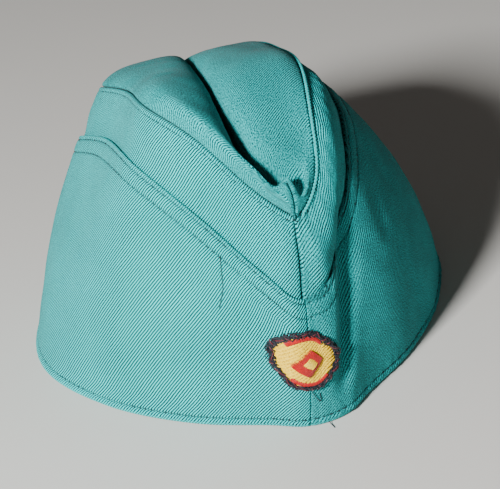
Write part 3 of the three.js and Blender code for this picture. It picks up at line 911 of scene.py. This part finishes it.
def wool_twill(piece):
    """Wool serge, woven as a steep twill and pressed: matt, with raised diagonal ribs of short slanting
    yarns, a soft bloom of fibre, and furrows darkened with painted shade."""
    material, add, feed = new_material(f"wool_serge_{piece}", 0.92, 0.12, 0.04)
    rib_pitch, least, most = 0.001 * SERGE[piece][1], *SERGE[piece][2:]
    rib_colour, furrow = colours().rib, colours().furrow
    uv = add("UVMap", uv_map="cloth")
    x, y = (add("SeparateXYZ", [uv], axis) for axis in "XY")

    def noise(scale, detail):
        return add("TexNoise", {"Vector": uv, "Scale": scale, "Detail": detail})

    def sine(value):
        return add("Math", [value], operation="SINE")

    def times_plus(value, factor, more, **settings):
        return add("Math", [value, factor, more], operation="MULTIPLY_ADD", **settings)

    def mix(share, low, high):
        return add("Mix", {0: share, 6: low, 7: high}, 2, data_type="RGBA")

    wander = times_plus(noise(60.0, 3.0), RIB_WANDER, -RIB_WANDER / 2)
    across = times_plus(wander, 2 * math.pi, times_plus(x, 2 * math.pi / rib_pitch, 0.0))
    rib = add("Math", [times_plus(sine(across), 0.5, 0.5), 0.8], operation="POWER")
    yarn = times_plus(sine(times_plus(y, 2 * math.pi / YARN_PITCH, across)), YARN_DIP, 1 - YARN_DIP)
    relief = add("Math", [rib, yarn], operation="MULTIPLY")
    rubbed = add("MapRange", [noise(90.0, 2.0), 0.4, 0.6, least, most])
    relief = add("Mix", {0: rubbed, 2: relief, 3: RUBBED_RELIEF})
    fuzz = noise(1900.0, 3.0)
    # shade mixes from the painted shade of the furrows up to the lit ribs' colour, by the relief
    shade = times_plus(relief, RIB_CONTRAST, times_plus(fuzz, 1.9, -1.4), use_clamp=True)
    tone = add("MapRange", [noise(30.0, 3.0), 0.3, 0.7, 0.9, 1.1])
    cloth = mix(shade, rgba(furrow), rgba(rib_colour))
    cloth = add("VectorMath", {0: cloth, "Scale": tone}, operation="SCALE")
    # the wear value lightens worn edges above 0, and below 0 paints shade into grooves and seams
    wear_and_shade = add("Attribute", out="Fac", attribute_name="wear_and_shade")
    cloth = mix(add("MapRange", [wear_and_shade, 0.0, 1.0, 0.0, 0.5]), cloth, rgba(rib_colour, 1.3))
    cloth = mix(add("MapRange", [wear_and_shade, 0.0, -1.0, 0.0, 0.8]), cloth, rgba(furrow, 0.4))
    feed("Base Color", cloth)
    height = times_plus(fuzz, 0.5, relief)
    feed("Normal", add("Bump", {"Strength": 1.0, "Distance": 0.0004, "Height": height}))
    return material


def spun_thread(name, base, roughness=0.5, sheen=0.1):
    """Twisted polyester or rayon thread: a soft gloss along its length and small changes of shade."""
    material, add, feed = new_material(name, roughness, 0.3, sheen)
    place = add("TexCoord", out="Object")
    strands = add("TexNoise", {"Vector": place, "Scale": 1800.0, "Detail": 2.0})
    tone = add("MapRange", [strands, 0.3, 0.7, 0.0, 1.0])
    feed("Base Color", add("Mix", {0: tone, 6: rgba(base, 0.6), 7: rgba(base, 1.25)}, 2, data_type="RGBA"))
    feed("Normal", add("Bump", {"Strength": 0.4, "Distance": 0.0001, "Height": strands}))
    return material


def both_sides(group, make):
    """Makes a group's right and left piece of cloth in place of the part's two nodes."""
    for name, side in SIDES.items():
        piece = make(f"{group}_{name}_cloth", side, wool_twill(f"{group}_{name}"))
        finish_piece(piece, f"{group}_cloth", f"{group}_{name}")
    return {"FINISHED"}


class CAP_OT_side_panels(bpy.types.Operator):
    """Builds the two side panels"""

    bl_idname = "cap.side_panels"
    bl_label = "Side panels"

    def execute(self, context):
        return both_sides("side", side_piece)


class CAP_OT_turn_ups(bpy.types.Operator):
    """Builds the two turn-ups with their folded hems"""

    bl_idname = "cap.turn_ups"
    bl_label = "Turn-ups"

    def execute(self, context):
        return both_sides("turn_up", turn_up_piece)


class CAP_OT_crown(bpy.types.Operator):
    """Builds the two halves of the creased crown"""

    bl_idname = "cap.crown"
    bl_label = "Crown"

    def execute(self, context):
        return both_sides("crown", crown_piece)


class CAP_OT_seam_edges(bpy.types.Operator):
    """Builds the raised edge of the left top seam, a fold of the cloth rolled over like a cord"""

    bl_idname = "cap.seam_edges"
    bl_label = "Seam edges"

    def execute(self, context):
        material = spun_thread("rolled_serge_edge", [0.55 * c for c in colours().rib], 0.9, 0.05)
        u = np.linspace(0.05, 0.965, 1500)
        seam, out = wall(u, 1 + 0 * u), -seam_way(u)
        toward_wall = unit(wall(u, 0.97 + 0 * u) - seam)
        path = seam + out * 0.0001 + toward_wall * CORD_RADIUS
        tube = tube_points(path, out, CORD_RADIUS, 10, 0.3)
        sew("seam_edge_left", [tube[None]], material, "crown_cloth")
        return {"FINISHED"}


class CAP_OT_stitches(bpy.types.Operator):
    """Sews the rows of stitches of turn-ups, hem and top seams"""

    bl_idname = "cap.stitches"
    bl_label = "Stitches"

    def execute(self, context):
        material = spun_thread("sewing_thread", colours().thread, 0.7)
        for name, side in SIDES.items():
            start, end = side_ends(side)
            top = np.linspace(start, end, 900)[6:-6]
            tall = wall_height(top)
            rows = [
                sewn_row(top, turn_up_edge(top) - EDGE_STITCHES / tall, -GROOVE, side + 2),
                sewn_row(top, turn_up_edge(top) - LOWER_STITCHES / tall, -GROOVE, side + 3),
                sewn_row(top, HEM_STITCHES / tall, -GROOVE + 0.0001, side + 7),
            ]
            sew(f"turn_up_stitches_{name}", rows, material, "turn_up_cloth")
            top, tall = top[14:-10], tall[14:-10]
            row = sewn_row(top, 1 - SEAM_STITCHES / tall, -0.5 * GROOVE, side + 9, 0.00012)
            sew(f"seam_stitches_{name}", [row], material, "side_cloth")
        return {"FINISHED"}


def badge(across, up, lift):
    """A point of the cockade: across and up from its middle in its own turned frame, lifted off the wall."""
    step = 0.01
    u0, v0 = np.array([COCKADE_U]), np.array([COCKADE_V])
    per_u = np.linalg.norm(wall(u0 + step, v0) - wall(u0 - step, v0)) / (2 * step)
    per_v = np.linalg.norm(wall(u0, v0 + step) - wall(u0, v0 - step)) / (2 * step)
    turn = math.radians(COCKADE_TURN)
    across, up = across * math.cos(turn) - up * math.sin(turn), across * math.sin(turn) + up * math.cos(turn)
    u, v = COCKADE_U + across / per_u, COCKADE_V + up / per_v
    way = normal(wall, u, v)
    return wall(u, v) + way * np.broadcast_to(lift, u.shape)[..., None], way


def badge_rim(angle, inset):
    """The cockade's outline: an oval with two full corners, less an inset."""
    s = sizes()
    corner = 1 + COCKADE_CORNER * (1 + np.sin(angle)) * np.sin(2 * angle) ** 2
    across = (s.cockade_width / 2 - inset) * np.cos(angle) * corner
    return across, (s.cockade_height / 2 - inset) * np.sin(angle) * corner


def badge_stitches(x0, y0, x1, y1, lift, radius, arch):
    """Stitches from (x0, y0) to (x1, y1) on the cockade: along its curve, at a lift plus arch times one less
    the square of s, which runs from -1 to 1."""
    s = np.linspace(-1, 1, 9)
    x = np.outer(x0, (1 - s) / 2) + np.outer(x1, (1 + s) / 2)
    y = np.outer(y0, (1 - s) / 2) + np.outer(y1, (1 + s) / 2)
    rise = np.broadcast_to(lift, np.shape(x0))[:, None] + arch * (1 - s * s)
    path, ups = badge(x, y, rise)
    return stitch_rings(path, ups, radius)


def satin(offsets, half_lengths, slant, lift, jitter):
    """Satin stitches side by side: each lies at an offset from the middle and reaches its half length and
    its jitter both ways, at a slant to the cockade's long way."""
    away = half_lengths + jitter
    x0, y0 = -offsets * math.sin(slant), offsets * math.cos(slant)
    over, up = away * math.cos(slant), away * math.sin(slant)
    return badge_stitches(x0 - over, y0 - up, x0 + over, y0 + up, lift, SATIN_RADIUS, SATIN_ARCH)


class CAP_OT_cockade(bpy.types.Operator):
    """Embroiders the cockade: a gold oval with a red lozenge in two bars of red, and a dark edge"""

    bl_idname = "cap.cockade"
    bl_label = "Cockade"

    def execute(self, context):
        s, c = sizes(), colours()
        rng = np.random.default_rng(11)
        gold, red = spun_thread("gold_rayon_thread", c.gold, 0.4), spun_thread("red_rayon_thread", c.red, 0.4)
        dark = spun_thread("dark_rayon_thread", c.dark, 0.5)
        plum = spun_thread("plum_rayon_thread", c.plum, 0.5)
        # the ground under the stitches
        rings, turns = 14, 72
        angle = np.linspace(0, 2 * math.pi, turns, endpoint=False)
        reach = np.linspace(0.02, 1, rings)
        x, y = badge_rim(angle, s.cockade_edge * 0.6)
        x, y = reach[:, None] * x, reach[:, None] * y
        top, _ = badge(x, y, 0.0002 + 0.0005 * (1 - 0.4 * reach[:, None] ** 2) + 0 * x)
        under, _ = badge(x, y, 0.00005 + 0 * x)
        ground = np.concatenate([top[::-1], under])
        sew("cockade_ground", [ground[None]], gold, "gold_thread", "cockade_field")
        # the gold fill, in slanting rows of short stitches that start in turn at thirds of their length
        half_w, half_h = s.cockade_width / 2 - s.cockade_edge, s.cockade_height / 2 - s.cockade_edge
        slant, long = math.radians(62), FILL_STITCH
        rows = np.arange(-38, 39)
        later = (rows % 3) * long / 3 + rng.uniform(-0.0003, 0.0003, len(rows))
        starts = np.arange(-0.018, 0.018, long) + later[:, None]
        place = np.stack([starts, starts + long])
        offset = SATIN_PITCH * rows[:, None]
        xs = place * math.cos(slant) - offset * math.sin(slant)
        ys = place * math.sin(slant) + offset * math.cos(slant)
        inside = (xs.mean(0) / half_w) ** 2 + (ys.mean(0) / half_h) ** 2 < 0.93
        (x0, x1), (y0, y1) = xs[:, inside], ys[:, inside]
        lift = 0.0007 + rng.uniform(0, 0.00015, len(x0))
        fill = [badge_stitches(x0, y0, x1, y1, lift, SATIN_RADIUS, FILL_ARCH)]
        # the red lozenge, and a small gold one on it with its stitches across the red ones
        at = np.arange(-LOZENGE, LOZENGE, SATIN_PITCH)
        wide = [satin(at, LOZENGE + 0 * at, 0.0, 0.0017, rng.uniform(-0.0003, 0.0003, len(at)))]
        at = np.arange(-SMALL_LOZENGE, SMALL_LOZENGE, SATIN_PITCH)
        jitter = rng.uniform(-0.0002, 0.0002, len(at))
        fill.append(satin(at, SMALL_LOZENGE + 0 * at, math.pi / 2, 0.0021, jitter))
        # two bars of short red stitches, opposite each other
        for middle in (0.75 * math.pi, 1.75 * math.pi):
            at = middle + np.linspace(-0.75, 0.75, 44) + rng.uniform(-0.01, 0.01, 44)
            inner, outer = badge_rim(at, s.cockade_edge + BAR_WIDTH), badge_rim(at, s.cockade_edge - 0.0002)
            wide.append(badge_stitches(*inner, *outer, 0.001, SATIN_RADIUS, SATIN_ARCH))
        for name, groups, material in (("gold", fill, gold), ("red", wide, red)):
            sew(f"cockade_{name}_stitches", groups, material, "gold_thread")
        # the overstitched edge: short stitches across it, and strands that wander round it
        for name, count, material in (("dark", 150, dark), ("plum", 24, plum)):
            at = np.linspace(0, 2 * math.pi, count, endpoint=False) + rng.uniform(-0.05, 0.05, count)
            turn = rng.uniform(-0.22, 0.22, count)
            start = badge_rim(at - turn, rng.uniform(-0.0008, 0.0008, count))
            end = badge_rim(at + turn, s.cockade_edge + rng.uniform(-0.0009, 0.0004, count))
            lift = 0.0004 if name == "dark" else 0.0008
            stitches = badge_stitches(*start, *end, lift, EDGE_RADIUS, EDGE_ARCH)
            nodes = ["cockade_edge"] if name == "dark" else []
            sew(f"cockade_edge_{name}", [stitches], material, "dark_thread", *nodes)
        strands = []
        for k in range(6):
            at = np.linspace(0, 2 * math.pi * 1.1, 160) + k
            sway = np.sin(at * (5 + k) + k) * 0.0008 + np.sin(at * (13 + 2 * k)) * 0.0006
            x, y = badge_rim(at, s.cockade_edge * 0.45 + sway)
            path, ups = badge(x, y, 0.0012 + 0.0004 * np.sin(at * 17 + k))
            strands.append(tube_points(path, ups, STRAND_RADIUS, 6))
        sew("cockade_edge_strands", [np.stack(strands)], dark, "dark_thread")
        return {"FINISHED"}


class CAP_OT_loose_threads(bpy.types.Operator):
    """Lays the loose ends of sewing thread on the cloth"""

    bl_idname = "cap.loose_threads"
    bl_label = "Loose threads"

    def execute(self, context):
        material = spun_thread("loose_sewing_thread", colours().dark, 0.6)
        for name, places in LOOSE_THREADS.items():
            u, v, lift = hermite(np.arange(5.0), np.array(places), np.tile(np.linspace(0, 4, 40), (3, 1)))
            path, ups = wall_path(u, v, lift * 0.001)
            tube = tube_points(path, ups, LOOSE_RADIUS, 6)
            sew(f"loose_thread_{name}", [tube[None]], material, "dark_thread")
        return {"FINISHED"}


class CAP_OT_stage(bpy.types.Operator):
    """Sets the floor, the lights and the camera"""

    bl_idname = "cap.stage"
    bl_label = "Stage"

    def execute(self, context):
        scene = context.scene
        floor_mesh = bpy.data.meshes.new("floor")
        corners = np.array([(-1, -1), (1, -1), (1, 1), (-1, 1)]) * FLOOR_REACH
        corners = [(x, y, -FLOOR_DROP) for x, y in corners]
        floor_mesh.from_pydata(corners, [], [(0, 1, 2, 3)])
        # smooth matt paint, hardly mottled
        material, add, feed = new_material("painted_floor", 0.85, 0.3, 0.0)
        mottle = add("TexNoise", {"Vector": add("TexCoord", out="Object"), "Scale": 9.0, "Detail": 3.0})
        pale = colours().floor
        feed("Base Color", add("Mix", {0: mottle, 6: rgba(pale, 0.96), 7: rgba(pale)}, 2, data_type="RGBA"))
        floor_mesh.materials.append(material)
        placed("floor", floor_mesh)
        world = bpy.data.worlds.new("studio")
        scene.world = world
        world.use_nodes = True
        background = world.node_tree.nodes["Background"]
        background.inputs[0].default_value = WORLD_COLOUR
        background.inputs[1].default_value = WORLD_STRENGTH
        for name, place, size, power in LIGHTS:
            lamp = bpy.data.lights.new(name, "AREA")
            lamp.energy, lamp.size = power, size
            holder = placed(name, lamp)
            holder.location = place
            aim = Vector(LIGHT_AIM) - Vector(place)
            holder.rotation_euler = aim.to_track_quat("-Z", "Y").to_euler()
        scene.camera = camera()
        return {"FINISHED"}


def camera():
    """The camera at the photo's place, turned and rolled as the photo was taken."""
    data = bpy.data.cameras.new("camera")
    data.lens, data.sensor_width = CAMERA_LENS, CAMERA_SENSOR
    holder = placed("camera", data)
    holder.matrix_world = Matrix.Translation(CAMERA_PLACE)
    for degrees, axis in ((-CAMERA_AZIMUTH, "Z"), (90 - CAMERA_ELEVATION, "X"), (CAMERA_ROLL, "Z")):
        holder.matrix_world = holder.matrix_world @ Matrix.Rotation(math.radians(degrees), 4, axis)
    return holder


class CAP_PT_panel(bpy.types.Panel):
    """Sizes, colours and a button for each group of pieces"""

    bl_label = "Garrison cap"
    bl_space_type = "VIEW_3D"
    bl_region_type = "UI"
    bl_category = "Cap"

    def draw(self, context):
        for group in (context.scene.cap_sizes, context.scene.cap_colours):
            box = self.layout.box()
            for name in group.__annotations__:
                box.prop(group, name, text=name.replace("_", " ").capitalize())
        for operator in OPERATORS:
            self.layout.operator(operator.bl_idname)


OPERATORS = (
    CAP_OT_side_panels,
    CAP_OT_turn_ups,
    CAP_OT_crown,
    CAP_OT_seam_edges,
    CAP_OT_stitches,
    CAP_OT_cockade,
    CAP_OT_loose_threads,
    CAP_OT_stage,
)
CLASSES = (CapSizes, CapColours, *OPERATORS, CAP_PT_panel)


def register():
    for cls in CLASSES:
        bpy.utils.register_class(cls)
    bpy.types.Scene.cap_sizes = bpy.props.PointerProperty(type=CapSizes)
    bpy.types.Scene.cap_colours = bpy.props.PointerProperty(type=CapColours)


def unregister():
    del bpy.types.Scene.cap_colours
    del bpy.types.Scene.cap_sizes
    for cls in reversed(CLASSES):
        bpy.utils.unregister_class(cls)


def main():
    register()
    bpy.ops.cap.side_panels()
    bpy.ops.cap.turn_ups()
    bpy.ops.cap.crown()
    bpy.ops.cap.seam_edges()
    bpy.ops.cap.stitches()
    bpy.ops.cap.cockade()
    bpy.ops.cap.loose_threads()
    bpy.ops.cap.stage()


if __name__ == "__main__":
    main()
